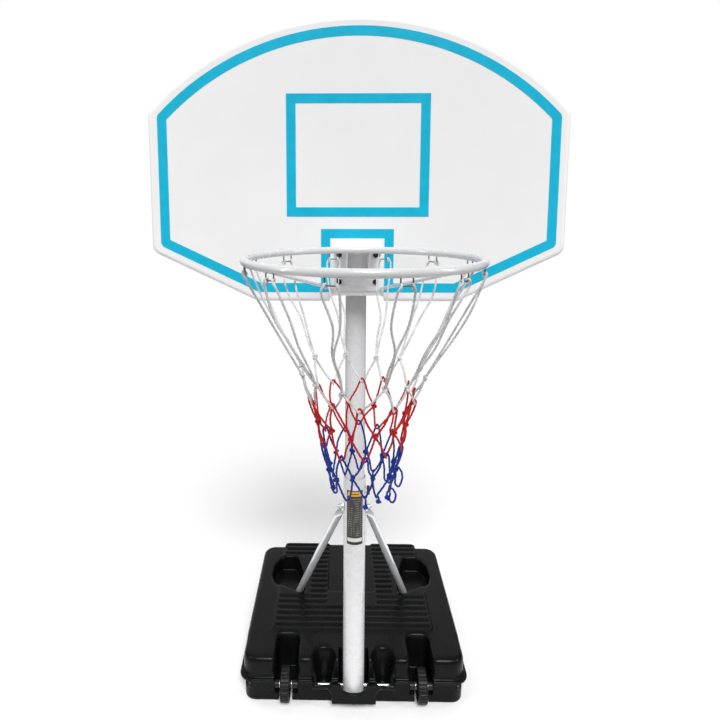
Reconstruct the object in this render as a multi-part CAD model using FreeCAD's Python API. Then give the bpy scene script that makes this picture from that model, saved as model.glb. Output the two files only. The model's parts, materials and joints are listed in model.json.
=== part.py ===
"""Portable basketball hoop: ballast base on two wheels, strutted telescopic pole, board, ring and net.

Frame, in millimetres: +Z up, the board faces -Y, and the origin is on the floor under the pole's axis.
"""
import FreeCAD, Part

import math
import os

V = FreeCAD.Vector
X_AXIS, Y_AXIS, Z_AXIS = V(1, 0, 0), V(0, 1, 0), V(0, 0, 1)
SIDES = (-1, 1)

# Base tank
TANK_HALF_W = 338.0
TANK_FRONT, TANK_REAR = -7.0, 563.0
TANK_TOP = 137.0
FLANGE_Z, FLANGE_H, FLANGE_PROUD = 66.0, 8.0, 9.0
LOWER_INSET = 6.0
PANEL_HALF_W, PANEL_FRONT, PANEL_REAR, PANEL_H = 258.0, 108.0, 574.0, 6.0
RIB_PITCH, RIB_FIRST, RIB_GROOVE = 27.0, 124.0, 15.0
RIB_DEPTH, RIB_GROOVE_FLOOR = 5.0, 6.0
FLOOR_T = 8.0
POCKET_FLOOR, STRUT_TROUGH_R = 85.0, 16.0
STORE_HALF_W, STORE_FRONT, STORE_DEPTH = 83.0, 288.0, 7.0
CAVITY_LOW_TOP = 75.0
WELL_IN, WELL_OUT, WELL_REAR, WELL_LEDGE = 170.0, 238.0, 96.0, 24.0
SLOT_HALF_W, SLOT_REAR = 20.0, 54.0
SCALLOP_X, SCALLOP_Y, SCALLOP_TOP_R, SCALLOP_LOW_R = 90.0, 8.0, 36.5, 14.0
SCALLOP_FLOOR = 38.0
CHANNEL_HALF_W, CHANNEL_REAR = 45.0, 42.0
CHANNEL_FLOOR = 12.0
BUMPER_HALF_W, BUMPER_LIP_HALF_W = 66.0, 117.0
BUMPER_FRONT, BUMPER_T = -46.0, 10.0
BUMPER_LOW, BUMPER_TOP, BUMPER_LIP = 26.0, 84.0, 69.0
CHEEK_IN, CHEEK_TOP = 48.0, 62.0
NOTCH_HALF_W, NOTCH_FLOOR, NOTCH_CORNER = 37.0, 57.0, 26.0
CAP_X, CAP_Z, CAP_R, CAP_T = 110.0, 102.0, 24.0, 11.0
CAP_NECK_R, CAP_RECESS = 15.0, 14.0
CAP_SEAT_Y = PANEL_REAR - CAP_RECESS

# Wheels and axle
AXLE_R, AXLE_Z, AXLE_HALF = 5.0, 48.0, 316.0
END_CAP_X, END_CAP_R, END_CAP_T = 311.0, 11.0, 8.0
SPACER_R = 11.0
WHEEL_R, WHEEL_W, WHEEL_X = 47.0, 28.0, 206.0
WHEEL_HUB_W = 34.0
RUN_GAP = 0.05

# Poles and struts
LOW_R, UP_R, TUBE_T = 32.0, 28.5, 1.5
LOW_BOTTOM, LOW_TOP = 14.0, 717.0
UP_BOTTOM, UP_TOP = 420.0, 1720.0
BUSH_H, BUSH_RECESS = 60.0, 25.0
STRUT_R, STRUT_T, STRUT_NECK = 11.5, 1.5, 48.0
STRUT_TOP = V(35.0, 0.0, 623.0)
STRUT_FOOT = V(198.0, 334.0, POCKET_FLOOR + 2.0)
TAB_T, TAB_HALF_W = 4.0, 15.0
KNOB_Z, KNOB_R, KNOB_T, BOSS_H = 673.0, 13.0, 8.0, 3.0
LABEL_LOW, LABEL_HIGH, LABEL_HALF_DEG, LABEL_T = 522.0, 686.0, 44.0, 0.4

# Board
BOARD_HALF_W, BOARD_FRONT, BOARD_T, BOARD_WALL = 535.0, -93.0, 30.0, 3.0
BOARD_APEX, BOARD_ARC_R = 1960.5, 733.0
BOARD_BOTTOM, BOARD_SIDE_LOW, BOARD_BOTTOM_HALF_W = 1243.0, 1373.0, 262.0
BOARD_CORNER, BOARD_BEVEL = 30.0, 12.0
NOTCH_BOARD_HALF_W, NOTCH_BOARD_H = 72.0, 16.0
BACK_CHANNEL_DEPTH = 4.0
STRIPE_INSET, STRIPE_W, STRIPE_T = 25.0, 24.0, 0.6
TARGET_HALF_W, TARGET_LOW, TARGET_HIGH = 182.0, 1464.5, 1772.5
MARK_HALF_W, MARK_TOP = 94.0, 1433.0

# Ring, its plate and the net
RING_Y, RING_Z, RING_R, RING_TUBE_R = -440.0, 1387.7, 233.0, 8.0
PLATE_HALF_W, PLATE_LOW, PLATE_HIGH, PLATE_T = 68.0, 1272.0, 1387.5, 4.0
BOLT_X, BOLT_ZS = 47.0, (1296.0, 1366.0)
BRACE_R = 4.0
HOOK_COUNT, HOOK_WIRE_R = 12, 1.3
HOOK_HALF_W, HOOK_DROP, HOOK_BEND = 10.7, 13.0, 4.0
CORD_R, KNOT_R, KNOT_GAP = 2.2, 4.6, 8.0
# Each row of knots: radius, height, and half a step of turn for every other row.
NET_ROWS = [(RING_R, 1358.0, 0.0), (127.0, 1159.0, 0.0), (110.0, 1113.0, 0.5), (94.0, 1058.0, 0.0),
            (81.0, 1014.0, 0.5), (71.0, 960.0, 0.0), (62.0, 910.0, 0.5)]

# Fasteners
M8_R, M6_R, HOLE_GAP = 4.0, 3.0, 0.2

BOARD_REAR = BOARD_FRONT + BOARD_T
BRACKET_T = 3.0
BRACKET_GAP = 0.3
UPPER_BRACKET_Z = 1640.0


def box(x0, x1, y0, y1, z0, z1):
    return Part.makeBox(x1 - x0, y1 - y0, z1 - z0, V(x0, y0, z0))


def cyl(r, start, direction, length):
    return Part.makeCylinder(r, length, start, direction)


def rod(r, start, end):
    way = end - start
    return Part.makeCylinder(r, way.Length, start, way)


def mirror_x(shape):
    return shape.mirror(V(0, 0, 0), X_AXIS)


def both_sides(shape):
    return [shape, mirror_x(shape)]


def prism_y(points_xz, y0, y1):
    """A polygon drawn in X and Z, pushed along Y."""
    corners = [V(x, y0, z) for x, z in points_xz]
    face = Part.Face(Part.makePolygon(corners + corners[:1]))
    return face.extrude(V(0, y1 - y0, 0))


def prism_z(points_xy, z0, z1):
    """A polygon drawn in X and Y, pushed along Z."""
    corners = [V(x, y, z0) for x, y in points_xy]
    face = Part.Face(Part.makePolygon(corners + corners[:1]))
    return face.extrude(V(0, 0, z1 - z0))


def edges_along(shape, axis):
    """The straight edges that run along one axis."""
    found = []
    for edge in shape.Edges:
        if edge.Curve.TypeId == "Part::GeomLine":
            way = edge.Vertexes[-1].Point - edge.Vertexes[0].Point
            if abs(way.normalize().dot(axis)) > 0.999:
                found.append(edge)
    return found


def edges_at(shape, axis, place):
    """The edges that lie wholly in the plane where the axis has this value."""
    found = []
    for edge in shape.Edges:
        box_ = edge.BoundBox
        low = V(box_.XMin, box_.YMin, box_.ZMin).dot(axis)
        high = V(box_.XMax, box_.YMax, box_.ZMax).dot(axis)
        if abs(low - place) < 0.01 and abs(high - place) < 0.01:
            found.append(edge)
    return found


def rounded_box(x0, x1, y0, y1, z0, z1, corner, top_edge=0.0, bottom_edge=0.0):
    shape = box(x0, x1, y0, y1, z0, z1)
    shape = shape.makeFillet(corner, edges_along(shape, Z_AXIS))
    if top_edge:
        shape = shape.makeFillet(top_edge, edges_at(shape, Z_AXIS, z1))
    if bottom_edge:
        shape = shape.makeFillet(bottom_edge, edges_at(shape, Z_AXIS, z0))
    return shape


def aimed(shape, place, axis):
    """A shape made along +Z at the origin, turned to an axis and moved to its place."""
    shape.Placement = FreeCAD.Placement(place, FreeCAD.Rotation(Z_AXIS, axis))
    return shape


def polygon_bar(sides, corner_r, length):
    """A straight bar of regular section, standing on the origin."""
    angles = [2 * math.pi * (k + 0.5) / sides for k in range(sides)]
    corners = [V(corner_r * math.cos(a), corner_r * math.sin(a), 0) for a in angles]
    return Part.Face(Part.makePolygon(corners + corners[:1])).extrude(V(0, 0, length))


def hex_head(width, height, place, axis):
    """A bolt's head, standing on its place along an axis."""
    return aimed(polygon_bar(6, width / math.sqrt(3), height), place, axis)


def hex_nut(width, height, bore_r, place, axis):
    """A nut lying along an axis from its place, with a plain bore."""
    bore = cyl(bore_r, V(0, 0, -1), Z_AXIS, height + 2)
    return aimed(polygon_bar(6, width / math.sqrt(3), height).cut(bore), place, axis)


def washer(r, thickness, bore_r, place, axis):
    ring = cyl(r, V(0, 0, 0), Z_AXIS, thickness).cut(cyl(bore_r, V(0, 0, -1), Z_AXIS, thickness + 2))
    return aimed(ring, place, axis)


# ---------------------------------------------------------------- base tank

def tank_outer():
    """The blow-moulded block: inset lower shell, parting flange, upper shell and ribbed top panel."""
    low_w = TANK_HALF_W - LOWER_INSET
    low_y0, low_y1 = TANK_FRONT - 3, TANK_REAR - 2
    flange_w = TANK_HALF_W + FLANGE_PROUD
    flange_y0, flange_y1 = TANK_FRONT - FLANGE_PROUD, TANK_REAR + FLANGE_PROUD - 2
    flange_top = FLANGE_Z + FLANGE_H
    lower = rounded_box(-low_w, low_w, low_y0, low_y1, 0, FLANGE_Z + 1, 34, bottom_edge=5)
    flange = rounded_box(-flange_w, flange_w, flange_y0, flange_y1, FLANGE_Z, flange_top, 40)
    upper = rounded_box(-TANK_HALF_W, TANK_HALF_W, TANK_FRONT, TANK_REAR, flange_top - 1, TANK_TOP, 42, 18)
    panel = rounded_box(-PANEL_HALF_W, PANEL_HALF_W, PANEL_FRONT, PANEL_REAR,
                        FLANGE_Z + 4, TANK_TOP + PANEL_H, 16, 4)
    return lower.fuse([flange, upper, panel])


def rib_grooves():
    """The cross grooves of the top panel, which stop short of the pockets and the middle strip."""
    top = TANK_TOP + PANEL_H
    grooves = []
    y = RIB_FIRST
    while y < PANEL_REAR - RIB_GROOVE:
        if y < 215 or y > 480:
            spans = [(-250, 250)]
        elif y < 285:
            spans = [(-250, -85), (85, 250)]
        else:
            spans = [(-145, -85), (85, 145)]
        for x0, x1 in spans:
            low = top - RIB_DEPTH
            points = [(y - RIB_GROOVE / 2, top + 0.1), (y + RIB_GROOVE / 2, top + 0.1),
                      (y + RIB_GROOVE_FLOOR / 2, low), (y - RIB_GROOVE_FLOOR / 2, low)]
            corners = [V(x0, py, pz) for py, pz in points]
            face = Part.Face(Part.makePolygon(corners + corners[:1]))
            grooves.append(face.extrude(V(x1 - x0, 0, 0)))
        y += RIB_PITCH
    return grooves


def strut_pocket():
    """The moulded hollow that takes a strut's foot, drawn on the +X side."""
    outline = [(165, 287), (222, 310), (274, 338), (289, 380), (286, 440), (262, 484),
               (205, 484), (190, 440), (165, 340)]
    pocket = prism_z(outline, POCKET_FLOOR, TANK_TOP + PANEL_H + 1)
    pocket = pocket.makeFillet(9, edges_along(pocket, Z_AXIS))
    above = box(100, 300, 200, 400, POCKET_FLOOR, TANK_TOP + PANEL_H + 30)
    trough = rod(STRUT_TROUGH_R, STRUT_FOOT, STRUT_FOOT - strut_direction() * 110).common(above)
    foot_room = cyl(TAB_HALF_W + 2, V(STRUT_FOOT.x, STRUT_FOOT.y, POCKET_FLOOR), Z_AXIS, 40)
    return pocket.fuse([trough, foot_room])


def storage_channel():
    """The shallow hollow down the middle of the panel, in which the pole lies when packed."""
    top = TANK_TOP + PANEL_H
    channel = box(-STORE_HALF_W, STORE_HALF_W, STORE_FRONT, PANEL_REAR + 10, top - STORE_DEPTH, top + 1)
    front = [e for e in edges_along(channel, Z_AXIS) if e.Vertexes[0].Point.y < STORE_FRONT + 1]
    return channel.makeFillet(12, front)


def wheel_well():
    """Open at the front and the top, with a round rear end, and a slot for the wheel through its ledge."""
    well = box(WELL_IN, WELL_OUT, TANK_FRONT - 60, WELL_REAR, WELL_LEDGE, TANK_TOP + 20)
    rear = [e for e in edges_along(well, Z_AXIS) if e.Vertexes[0].Point.y > 0]
    slot = box(WHEEL_X - SLOT_HALF_W, WHEEL_X + SLOT_HALF_W, TANK_FRONT - 60, SLOT_REAR, -1, WELL_LEDGE + 1)
    return well.makeFillet(14, rear).fuse(slot)


def axle_end_recess():
    """The round recess in the tank's side that the rod's end cap sits in."""
    return cyl(END_CAP_R + 0.5, V(END_CAP_X, 0, AXLE_Z), X_AXIS, 40)


def scallop():
    """A hollow like half a funnel beside the pole, open to the front."""
    height = TANK_TOP - SCALLOP_FLOOR
    cone = Part.makeCone(SCALLOP_LOW_R, SCALLOP_TOP_R, height, V(SCALLOP_X, SCALLOP_Y, SCALLOP_FLOOR))
    mouth = prism_y([(SCALLOP_X - SCALLOP_LOW_R, SCALLOP_FLOOR), (SCALLOP_X + SCALLOP_LOW_R, SCALLOP_FLOOR),
                     (SCALLOP_X + SCALLOP_TOP_R, TANK_TOP), (SCALLOP_X - SCALLOP_TOP_R, TANK_TOP)],
                    TANK_FRONT - 30, SCALLOP_Y)
    over = box(SCALLOP_X - SCALLOP_TOP_R, SCALLOP_X + SCALLOP_TOP_R, TANK_FRONT - 30, SCALLOP_Y,
               TANK_TOP, TANK_TOP + 5)
    return cone.fuse([mouth, over])


def bumper_notch():
    """The round-cornered cut in the lip, where the pole stands."""
    notch = box(-NOTCH_HALF_W, NOTCH_HALF_W, BUMPER_FRONT - 1, BUMPER_FRONT + BUMPER_T + 1,
                NOTCH_FLOOR, BUMPER_TOP + 1)
    low = [e for e in edges_along(notch, Y_AXIS) if e.Vertexes[0].Point.z < NOTCH_FLOOR + 1]
    return notch.makeFillet(NOTCH_CORNER, low)


def bumper():
    """The cradle across the front: a lip bar, a deeper middle plate and the cheeks that hold them."""
    rear = TANK_FRONT + 4
    lip = box(-BUMPER_LIP_HALF_W, BUMPER_LIP_HALF_W, BUMPER_FRONT + 3, BUMPER_FRONT + BUMPER_T,
              BUMPER_LIP, BUMPER_TOP)
    plate = prism_y([(-BUMPER_HALF_W, BUMPER_LOW), (BUMPER_HALF_W, BUMPER_LOW), (BUMPER_HALF_W, 60),
                     (86, BUMPER_TOP), (-86, BUMPER_TOP), (-BUMPER_HALF_W, 60)],
                    BUMPER_FRONT, BUMPER_FRONT + BUMPER_T)
    sole = box(-BUMPER_HALF_W, BUMPER_HALF_W, TANK_FRONT - 7, CHANNEL_REAR - 12, 0, CHANNEL_FLOOR)
    lip_end = box(BUMPER_LIP_HALF_W - 8, BUMPER_LIP_HALF_W + 6, BUMPER_FRONT + 3, rear,
                  BUMPER_LIP, BUMPER_TOP)
    cheek = box(CHEEK_IN, BUMPER_HALF_W, BUMPER_FRONT + 4, TANK_FRONT + 20, BUMPER_LOW, CHEEK_TOP)
    parts = [plate, sole] + both_sides(lip_end) + both_sides(cheek)
    return lip.fuse(parts).cut(bumper_notch())


def cavity():
    """The space that holds the ballast."""
    low = box(-318, 318, 112, 548, FLOOR_T, CAVITY_LOW_TOP)
    high = box(-158, 158, 112, 540, CAVITY_LOW_TOP - 1, 125)
    return low.fuse(high)


def make_tank():
    tank = tank_outer().cut(rib_grooves())
    channel = box(-CHANNEL_HALF_W, CHANNEL_HALF_W, TANK_FRONT - 60, CHANNEL_REAR, CHANNEL_FLOOR, 200)
    cuts = [channel, storage_channel()]
    for shape in (strut_pocket(), wheel_well(), scallop(), axle_end_recess()):
        cuts.extend(both_sides(shape))
    for z in (44.0, 56.0):
        cuts.append(box(-400, 400, TANK_FRONT - 40, TANK_FRONT - 8, z, z + 3))
    tank = tank.cut(cuts)
    tank = tank.fuse(bumper())
    axle_hole = cyl(AXLE_R + RUN_GAP, V(-400, 0, AXLE_Z), X_AXIS, 800)
    recess = cyl(CAP_R + 5, V(CAP_X, CAP_SEAT_Y, CAP_Z), Y_AXIS, 40)
    neck = cyl(CAP_NECK_R, V(CAP_X, 530, CAP_Z), Y_AXIS, 60)
    foot_holes = both_sides(cyl(M8_R, V(STRUT_FOOT.x, STRUT_FOOT.y, CAVITY_LOW_TOP + 2), Z_AXIS, 20))
    return tank.cut([cavity(), axle_hole, recess, neck] + foot_holes).removeSplitter()


def make_ballast():
    return cavity().cut(cyl(CAP_NECK_R + 2, V(CAP_X, 520, CAP_Z), Y_AXIS, 60))


def make_filler_cap():
    cap = cyl(CAP_R, V(CAP_X, CAP_SEAT_Y + 2, CAP_Z), Y_AXIS, CAP_T)
    grips = []
    for k in range(12):
        a = math.radians(30 * k)
        place = V(CAP_X + (CAP_R + 1) * math.cos(a), CAP_SEAT_Y + 4, CAP_Z + (CAP_R + 1) * math.sin(a))
        grips.append(cyl(2.4, place, Y_AXIS, CAP_T))
    plug = cyl(CAP_NECK_R - 2 * RUN_GAP, V(CAP_X, CAP_SEAT_Y - 14, CAP_Z), Y_AXIS, 17)
    bar = box(CAP_X - 16, CAP_X + 16, CAP_SEAT_Y + CAP_T + 1, CAP_SEAT_Y + CAP_T + 5, CAP_Z - 3, CAP_Z + 3)
    return cap.cut(grips).fuse([plug, bar])


def make_cap_seal():
    return washer(CAP_R - 1, 1.6, CAP_NECK_R + 0.1, V(CAP_X, CAP_SEAT_Y, CAP_Z), Y_AXIS)


# ---------------------------------------------------------------- wheels and axle

def make_axle():
    return cyl(AXLE_R, V(-AXLE_HALF, 0, AXLE_Z), X_AXIS, 2 * AXLE_HALF)


def make_axle_caps():
    """Push-on caps over the rod's ends, in recesses of the tank's sides."""
    cap = cyl(END_CAP_R, V(END_CAP_X, 0, AXLE_Z), X_AXIS, END_CAP_T)
    cap = cap.makeFillet(1.5, edges_at(cap, X_AXIS, END_CAP_X + END_CAP_T))
    bore = cyl(AXLE_R, V(END_CAP_X - 1, 0, AXLE_Z), X_AXIS, AXLE_HALF - END_CAP_X + 1)
    return both_sides(cap.cut(bore))


def make_wheel(side):
    """A moulded wheel: cross-grooved tread, dished sides and a hub that runs on the rod."""
    centre = V(side * WHEEL_X, 0, AXLE_Z)
    start = centre - V(WHEEL_W / 2, 0, 0)
    wheel = cyl(WHEEL_R, start, X_AXIS, WHEEL_W)
    wheel = wheel.makeFillet(3, [e for e in wheel.Edges if e.Curve.TypeId == "Part::GeomCircle"])
    dish = cyl(WHEEL_R - 9, start - V(1, 0, 0), X_AXIS, 9)
    far_dish = cyl(WHEEL_R - 9, start + V(WHEEL_W - 8, 0, 0), X_AXIS, 9)
    grooves = []
    for k in range(24):
        slot = box(-WHEEL_W / 2 + 3, WHEEL_W / 2 - 3, -1.6, 1.6, WHEEL_R - 1.8, WHEEL_R + 2)
        slot.rotate(V(0, 0, 0), X_AXIS, 15 * k)
        slot.translate(centre)
        grooves.append(slot)
    wheel = wheel.cut([dish, far_dish] + grooves)
    hub = cyl(12, centre - V(WHEEL_HUB_W / 2, 0, 0), X_AXIS, WHEEL_HUB_W)
    spokes = []
    for k in range(6):
        spoke = box(-WHEEL_W / 2 + 3, WHEEL_W / 2 - 3, -2, 2, 8, WHEEL_R - 8)
        spoke.rotate(V(0, 0, 0), X_AXIS, 60 * k)
        spoke.translate(centre)
        spokes.append(spoke)
    bore = cyl(AXLE_R + RUN_GAP, centre - V(40, 0, 0), X_AXIS, 80)
    return wheel.fuse([hub] + spokes).cut(bore)


def make_wheel_spacers():
    """Plastic sleeves on the rod that keep each wheel in the middle of its well."""
    parts = []
    hub_side = WHEEL_HUB_W / 2 + 0.3 + 1.6 + 0.2
    for start, end in ((WELL_IN, WHEEL_X - hub_side), (WHEEL_X + hub_side, WELL_OUT)):
        sleeve = cyl(SPACER_R, V(start, 0, AXLE_Z), X_AXIS, end - start)
        sleeve = sleeve.cut(cyl(AXLE_R + RUN_GAP, V(start - 1, 0, AXLE_Z), X_AXIS, end - start + 2))
        parts.extend(both_sides(sleeve))
    return parts


def make_wheel_washers():
    """One washer each side of each hub."""
    parts = []
    for side in SIDES:
        for way in SIDES:
            face_x = side * WHEEL_X + way * (WHEEL_HUB_W / 2 + 0.3)
            place = V(face_x, 0, AXLE_Z)
            parts.append(washer(10, 1.6, AXLE_R + RUN_GAP, place, X_AXIS * way))
    return parts


# ---------------------------------------------------------------- pole, struts and knob

def tube(outer_r, wall, z0, z1):
    outer = cyl(outer_r, V(0, 0, z0), Z_AXIS, z1 - z0)
    return outer.cut(cyl(outer_r - wall, V(0, 0, z0 - 1), Z_AXIS, z1 - z0 + 2))


def make_lower_pole():
    pole = tube(LOW_R, TUBE_T, LOW_BOTTOM, LOW_TOP)
    axle_hole = cyl(AXLE_R + RUN_GAP, V(-50, 0, AXLE_Z), X_AXIS, 100)
    screw_hole = cyl(M8_R + HOLE_GAP, V(20, 0, KNOB_Z), X_AXIS, 40)
    return pole.cut([axle_hole, screw_hole])


def make_pole_foot():
    """A plastic plug in the pole's lower end, with a flange under the rim."""
    plug = cyl(LOW_R - TUBE_T, V(0, 0, CHANNEL_FLOOR), Z_AXIS, 20)
    flange = cyl(LOW_R, V(0, 0, CHANNEL_FLOOR), Z_AXIS, LOW_BOTTOM - CHANNEL_FLOOR)
    hollow = cyl(LOW_R - TUBE_T - 4, V(0, 0, CHANNEL_FLOOR + 4), Z_AXIS, 30)
    return plug.fuse(flange).cut(hollow)


def make_guide_bush():
    """A plastic sleeve fixed in the lower tube's mouth, in which the upper tube slides."""
    low = LOW_TOP - BUSH_RECESS - BUSH_H
    outer = cyl(LOW_R - TUBE_T, V(0, 0, low), Z_AXIS, BUSH_H)
    bore = cyl(UP_R + RUN_GAP, V(0, 0, low - 5), Z_AXIS, BUSH_H + 10)
    screw_hole = cyl(M8_R + HOLE_GAP, V(20, 0, KNOB_Z), X_AXIS, 40)
    return outer.cut([bore, screw_hole])


def strut_direction():
    return (STRUT_FOOT - STRUT_TOP).normalize()


def ellipse_wire(centre, wide, wide_r, normal, thin_r):
    """A closed ellipse about a centre, wide along one direction and thin across it."""
    across = normal.cross(wide).normalize()
    flat = wide * wide_r
    curve = Part.Ellipse(centre + flat, centre + across * thin_r, centre)
    return Part.Wire([curve.toShape()])


def circle_wire(centre, normal, r):
    return Part.Wire([Part.Circle(centre, normal, r).toShape()])


def make_strut():
    """One brace tube with flattened ends, on the +X side."""
    way = strut_direction()
    tab_way = V(0, way.y, way.z).normalize()
    tab_side = X_AXIS.cross(tab_way).normalize()
    neck_top = STRUT_TOP + tab_way * 17
    tube_top = STRUT_TOP + way * STRUT_NECK
    tube_end = STRUT_FOOT - way * STRUT_NECK
    axis = (tube_end - tube_top).normalize()
    hollow = rod(STRUT_R - STRUT_T, tube_top + axis * 6, tube_end - axis * 6)
    body = rod(STRUT_R, tube_top, tube_end).cut(hollow)
    half_t = V(TAB_T / 2, 0, 0)
    half_w = tab_side * TAB_HALF_W
    tab = cyl(TAB_HALF_W, STRUT_TOP - half_t, X_AXIS, TAB_T)
    corners = [STRUT_TOP + half_w, STRUT_TOP - half_w, neck_top - half_w, neck_top + half_w]
    strip = Part.Face(Part.makePolygon([p - half_t for p in corners + corners[:1]])).extrude(half_t * 2)
    top_neck = Part.makeLoft([ellipse_wire(neck_top - tab_way, tab_side, TAB_HALF_W, tab_way, TAB_T / 2),
                              circle_wire(tube_top, axis, STRUT_R)], True)
    foot_way = V(STRUT_TOP.x - STRUT_FOOT.x, STRUT_TOP.y - STRUT_FOOT.y, 0).normalize()
    foot_side = foot_way.cross(Z_AXIS)
    foot_pad = cyl(TAB_HALF_W, V(STRUT_FOOT.x, STRUT_FOOT.y, POCKET_FLOOR), Z_AXIS, TAB_T)
    foot_oval = ellipse_wire(STRUT_FOOT + foot_way * 8, foot_side, TAB_HALF_W * 0.8, foot_way, TAB_T / 2)
    foot_neck = Part.makeLoft([foot_oval, circle_wire(tube_end, axis, STRUT_R)], True)
    holes = [cyl(M8_R + HOLE_GAP, STRUT_TOP - V(20, 0, 0), X_AXIS, 40),
             cyl(M8_R + HOLE_GAP, STRUT_FOOT - V(0, 0, 20), Z_AXIS, 40)]
    return tab.fuse([strip, top_neck, body, foot_neck, foot_pad]).cut(holes)


def make_strut_studs():
    """Threaded studs welded to the lower tube's sides."""
    stud = cyl(M8_R, V(LOW_R - 4, 0, STRUT_TOP.z), X_AXIS, 22)
    stud = stud.cut(cyl(LOW_R, V(0, 0, STRUT_TOP.z - 20), Z_AXIS, 40))
    return both_sides(stud)


def make_strut_nuts():
    outer = STRUT_TOP.x + TAB_T / 2
    nut = hex_nut(13, 6.5, M8_R, V(outer + 1.6, 0, STRUT_TOP.z), X_AXIS)
    return both_sides(nut)


def make_strut_washers():
    outer = STRUT_TOP.x + TAB_T / 2
    top = washer(8, 1.6, M8_R, V(outer, 0, STRUT_TOP.z), X_AXIS)
    foot = washer(8, 1.6, M8_R, V(STRUT_FOOT.x, STRUT_FOOT.y, POCKET_FLOOR + TAB_T), Z_AXIS)
    return both_sides(top) + both_sides(foot)


def make_strut_foot_bolts():
    low = CAVITY_LOW_TOP + 2
    head_z = POCKET_FLOOR + TAB_T + 1.6
    shank = cyl(M8_R, V(STRUT_FOOT.x, STRUT_FOOT.y, low), Z_AXIS, head_z - low + 1)
    head = hex_head(13, 5.5, V(STRUT_FOOT.x, STRUT_FOOT.y, head_z), Z_AXIS)
    return both_sides(head.fuse(shank))


def make_knob_nut():
    """The threaded boss welded to the lower tube, which the clamp screw runs in."""
    boss = hex_nut(16, BOSS_H + 3, M8_R + RUN_GAP, V(LOW_R - 3, 0, KNOB_Z), X_AXIS)
    return boss.cut(cyl(LOW_R, V(0, 0, KNOB_Z - 20), Z_AXIS, 40))


def make_clamp_knob():
    start = V(LOW_R + BOSS_H + 0.6, 0, KNOB_Z)
    knob = cyl(KNOB_R, start, X_AXIS, KNOB_T)
    knob = knob.makeFillet(1.5, [e for e in knob.Edges if e.Curve.TypeId == "Part::GeomCircle"])
    grips = []
    reach = KNOB_R + 2
    for k in range(6):
        a = math.radians(60 * k)
        place = start + V(-1, reach * math.cos(a), reach * math.sin(a))
        grips.append(cyl(4.5, place, X_AXIS, KNOB_T + 3))
    bore = cyl(M8_R, start - V(1, 0, 0), X_AXIS, 6)
    return knob.cut(grips + [bore])


def make_clamp_screw():
    tip = UP_R + 0.3
    return cyl(M8_R, V(tip, 0, KNOB_Z), X_AXIS, LOW_R + BOSS_H + 5.6 - tip)


def make_label():
    """A sticker wrapped round the front of the lower tube."""
    height = LABEL_HIGH - LABEL_LOW
    sheet = cyl(LOW_R + LABEL_T, V(0, 0, LABEL_LOW), Z_AXIS, height).cut(
        cyl(LOW_R, V(0, 0, LABEL_LOW - 1), Z_AXIS, height + 2))
    half = math.radians(LABEL_HALF_DEG)
    reach = 60.0
    wedge = prism_z([(0, 0), (-reach * math.sin(half), -reach * math.cos(half)),
                     (reach * math.sin(half), -reach * math.cos(half))], LABEL_LOW, LABEL_HIGH)
    return sheet.common(wedge)


def make_upper_pole():
    pole = tube(UP_R, TUBE_T, UP_BOTTOM, UP_TOP)
    holes = [cyl(M8_R + HOLE_GAP, V(-50, 0, z), X_AXIS, 100) for z in bracket_bolt_zs()]
    return pole.cut(holes)


def make_pole_cap():
    rim = cyl(UP_R, V(0, 0, UP_TOP), Z_AXIS, 4)
    rim = rim.makeFillet(2.5, edges_at(rim, Z_AXIS, UP_TOP + 4))
    plug = cyl(UP_R - TUBE_T, V(0, 0, UP_TOP - 18), Z_AXIS, 19)
    hollow = cyl(UP_R - TUBE_T - 3, V(0, 0, UP_TOP - 20), Z_AXIS, 18)
    return rim.fuse(plug).cut(hollow)


# ---------------------------------------------------------------- board

def board_corners(inset):
    """The outline's corners, from the bottom left anticlockwise, and the top arc's middle."""
    x = BOARD_HALF_W - inset
    low = BOARD_BOTTOM + inset
    arc_centre = BOARD_APEX - BOARD_ARC_R
    arc_r = BOARD_ARC_R - inset
    high = arc_centre + math.sqrt(arc_r ** 2 - x ** 2)
    run = BOARD_HALF_W - BOARD_BOTTOM_HALF_W
    rise = BOARD_SIDE_LOW - BOARD_BOTTOM
    slope = rise / run
    shift = inset * math.sqrt(1 + slope ** 2)
    side_low = BOARD_SIDE_LOW + slope * (x - BOARD_HALF_W) + shift
    bottom_x = BOARD_BOTTOM_HALF_W + (low - shift - BOARD_BOTTOM) / slope
    return x, low, high, side_low, bottom_x, BOARD_APEX - inset


def board_blank(inset, corner_r, y0, y1):
    x, low, high, side_low, bottom_x, apex = board_corners(inset)
    points = [V(-x, y0, high), V(-x, y0, side_low), V(-bottom_x, y0, low), V(bottom_x, y0, low),
              V(x, y0, side_low), V(x, y0, high)]
    edges = [Part.makeLine(a, b) for a, b in zip(points, points[1:])]
    edges.append(Part.Arc(points[-1], V(0, y0, apex), points[0]).toShape())
    blank = Part.Face(Part.Wire(edges)).extrude(V(0, y1 - y0, 0))
    return blank.makeFillet(corner_r, edges_along(blank, Y_AXIS))


def board_screws():
    """Where screws from behind hold the upper bracket to the board."""
    return [(x, z) for x in (-62, 62) for z in (UPPER_BRACKET_Z - 25, UPPER_BRACKET_Z + 25)]


def bracket_bolt_zs():
    return (1335.0, UPPER_BRACKET_Z)


def board_notch():
    """The step in the middle of the bottom edge, under the ring's plate."""
    notch = box(-NOTCH_BOARD_HALF_W, NOTCH_BOARD_HALF_W, BOARD_FRONT - 1, BOARD_REAR + 1,
                BOARD_BOTTOM - 20, BOARD_BOTTOM + NOTCH_BOARD_H)
    top = [e for e in edges_along(notch, Y_AXIS) if e.Vertexes[0].Point.z > BOARD_BOTTOM]
    return notch.makeFillet(12, top)


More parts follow.
